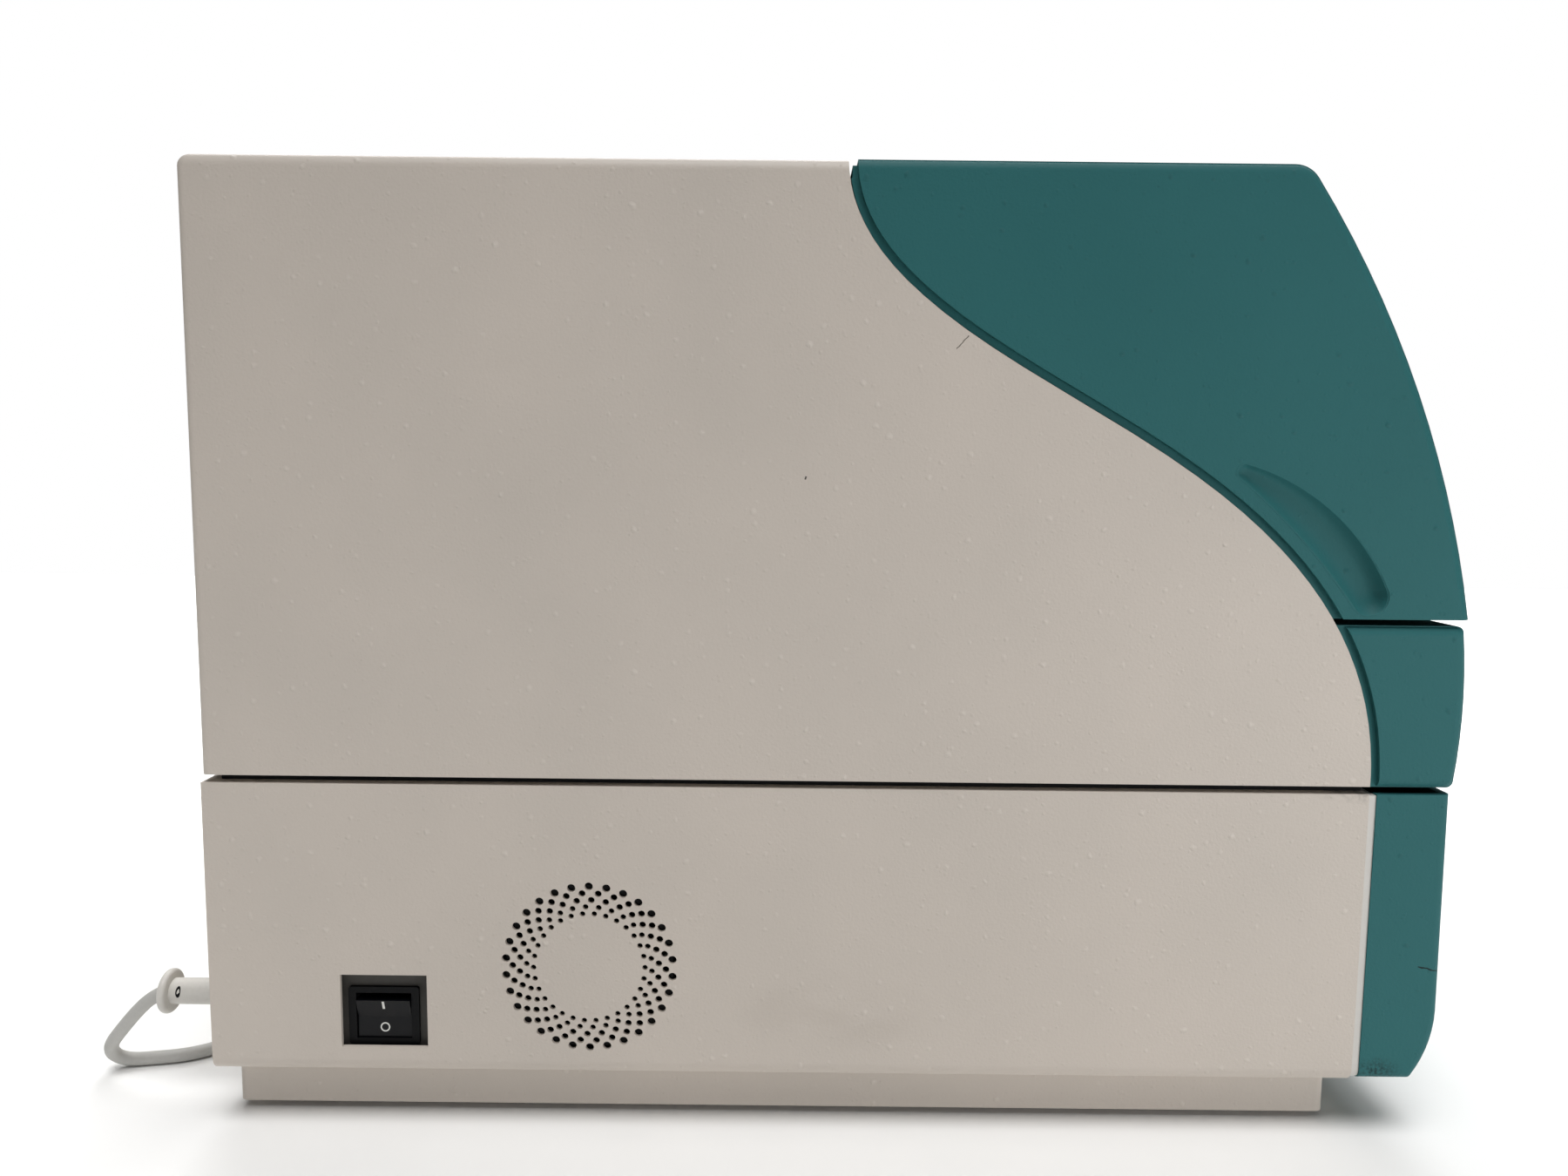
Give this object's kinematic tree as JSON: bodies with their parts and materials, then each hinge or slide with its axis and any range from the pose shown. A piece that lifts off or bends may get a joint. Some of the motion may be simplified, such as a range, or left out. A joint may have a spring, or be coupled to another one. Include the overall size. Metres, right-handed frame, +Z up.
{
  "type": "microplate reader",
  "caption": "Bench microplate reader: painted steel case and cover, moulded front with lifting hood, powered plate carrier behind a shuttered slot, side vent and mains switch.",
  "frame": {"origin": "on the table, under the middle of the instrument's box", "axes": "+Z up, front towards -Y, the pictured side with the mains switch towards -X"},
  "size_m": [0.42, 0.5268, 0.3423],
  "materials": {
    "beige_paint": "structured powder coat, satin",
    "teal_shell": "structured paint over moulded shell, satin",
    "pale_plate": "smooth satin paint",
    "black_paint": "matt black paint",
    "black_plastic": "fine textured moulding",
    "dark_bracket": "dull dark grey sheet",
    "foot_rubber": "matt",
    "belt_rubber": "matt",
    "ground_steel": "ground and polished",
    "cast_aluminium": "machined, clear anodised",
    "bare_steel": "zinc plated sheet",
    "green_board": "lacquered circuit board",
    "grey_plastic": "satin moulding",
    "lamp_plastic": "clear tinted moulding",
    "clear_glass": "clear drawn glass",
    "lead_plastic": "soft moulded vinyl"
  },
  "bodies": {
    "base": {"base_tray": "beige_paint", "bay_liner": "black_paint", "board_standoffs": "bare_steel", "deck_plate": "black_paint", "fan_frame": "black_plastic", "feet": "foot_rubber", "filter_stands": "black_paint", "flash_lamp": "bare_steel", "front_band": "teal_shell", "front_plate": "pale_plate", "hinge_pins": "ground_steel", "injector_pumps": "grey_plastic", "key_switch": "black_plastic", "lead_coil": "lead_plastic", "lead_connector": "lead_plastic", "light_detector": "bare_steel", "light_guides": "black_plastic", "lower_case": "beige_paint", "lower_fascia": "teal_shell", "lower_sensor": "cast_aluminium", "main_board": "green_board", "mains_lead": "lead_plastic", "mains_plug": "lead_plastic", "optic_head": "black_paint", "optics_bridge": "black_paint", "power_supply": "bare_steel", "rail_blocks": "cast_aluminium", "reagent_rack": "black_plastic", "rear_panel": "beige_paint", "rear_screws": "black_plastic", "rear_sockets": "black_plastic", "shutter_guides": "black_paint", "side_cheeks": "black_paint", "status_lamps": "lamp_plastic", "stepper_motors": "black_plastic", "switch_body": "black_plastic", "switch_bracket": "dark_bracket", "syringe_barrels": "clear_glass", "upper_cover": "beige_paint", "y_belt": "belt_rubber", "y_rods": "ground_steel"},
    "hood": {"hood": "teal_shell"},
    "shutter": {"plate_shutter": "black_paint"},
    "carriage": {"y_carriage": "cast_aluminium", "x_rods": "ground_steel", "x_motor": "black_plastic", "x_belt": "belt_rubber"},
    "carrier": {"plate_carrier": "cast_aluminium"},
    "y_pulley": {"y_pulley": "cast_aluminium"},
    "y_idler": {"y_idler": "cast_aluminium"},
    "x_pulley": {"x_pulley": "cast_aluminium"},
    "x_idler": {"x_idler": "cast_aluminium"},
    "excitation_wheel": {"excitation_wheel": "black_plastic"},
    "emission_wheel": {"emission_wheel": "black_plastic"},
    "impeller": {"fan_impeller": "black_plastic"},
    "plunger_1": {"plunger_1": "ground_steel"},
    "plunger_2": {"plunger_2": "ground_steel"},
    "rocker": {"rocker": "black_plastic"},
    "key": {"plate_key": "grey_plastic"}
  },
  "joints": [
    {"name": "hood_hinge", "type": "hinge", "parent": "base", "child": "hood", "pos_m": [0, -0.016, 0.336], "axis": [-1, 0, 0], "range_deg": [0, 80]},
    {"name": "carriage_slide", "type": "slide", "parent": "base", "child": "carriage", "axis": [0, -1, 0], "range_m": [-0.035, 0.235]},
    {"name": "carrier_slide", "type": "slide", "parent": "carriage", "child": "carrier", "axis": [1, 0, 0], "range_m": [-0.0495, 0.0495]},
    {"name": "shutter_slide", "type": "slide", "parent": "base", "child": "shutter", "axis": [0, 0, -1], "range_m": [-0.0102, 0.0682]},
    {"name": "y_pulley_spin", "type": "hinge", "parent": "base", "child": "y_pulley", "pos_m": [0.165, 0.171, 0.151], "axis": [1, 0, 0], "range_deg": [-335.23, 2245.08]},
    {"name": "y_idler_spin", "type": "hinge", "parent": "base", "child": "y_idler", "pos_m": [0.165, -0.184, 0.151], "axis": [1, 0, 0], "range_deg": [-335.23, 2245.08]},
    {"name": "x_pulley_spin", "type": "hinge", "parent": "carriage", "child": "x_pulley", "pos_m": [-0.105, 0.0595, 0.151], "axis": [0, 1, 0], "range_deg": [-473.69, 473.69]},
    {"name": "x_idler_spin", "type": "hinge", "parent": "carriage", "child": "x_idler", "pos_m": [0.105, 0.0595, 0.151], "axis": [0, 1, 0], "range_deg": [-473.69, 473.69]},
    {"name": "excitation_wheel_spin", "type": "hinge", "parent": "base", "child": "excitation_wheel", "pos_m": [-0.095, -0.005, 0.252], "axis": [0, 1, 0], "continuous": true},
    {"name": "emission_wheel_spin", "type": "hinge", "parent": "base", "child": "emission_wheel", "pos_m": [0.095, -0.005, 0.252], "axis": [0, 1, 0], "continuous": true},
    {"name": "impeller_spin", "type": "hinge", "parent": "base", "child": "impeller", "pos_m": [-0.195, 0.0846, 0.0605], "axis": [1, 0, 0], "continuous": true},
    {"name": "plunger_1_slide", "type": "slide", "parent": "base", "child": "plunger_1", "axis": [0, 0, -1], "range_m": [0, 0.028]},
    {"name": "plunger_2_slide", "type": "slide", "parent": "base", "child": "plunger_2", "axis": [0, 0, -1], "range_m": [0, 0.028]},
    {"name": "rocker_tilt", "type": "hinge", "parent": "base", "child": "rocker", "pos_m": [-0.2, 0.1597, 0.0402], "axis": [0, 1, 0], "range_deg": [0, 16]},
    {"name": "key_press", "type": "slide", "parent": "base", "child": "key", "axis": [0, 1, 0], "range_m": [0, 0.0015], "stiffness_N_per_m": 400, "springref_m": -0.001}
  ],
  "couplings": [
    {"joint": "shutter_slide", "follows": "carriage_slide", "ratio": 0.29},
    {"joint": "y_pulley_spin", "follows": "carriage_slide", "rad_per_m": 166.67},
    {"joint": "y_idler_spin", "follows": "carriage_slide", "rad_per_m": 166.67},
    {"joint": "x_pulley_spin", "follows": "carrier_slide", "rad_per_m": 166.67},
    {"joint": "x_idler_spin", "follows": "carrier_slide", "rad_per_m": 166.67}
  ]
}
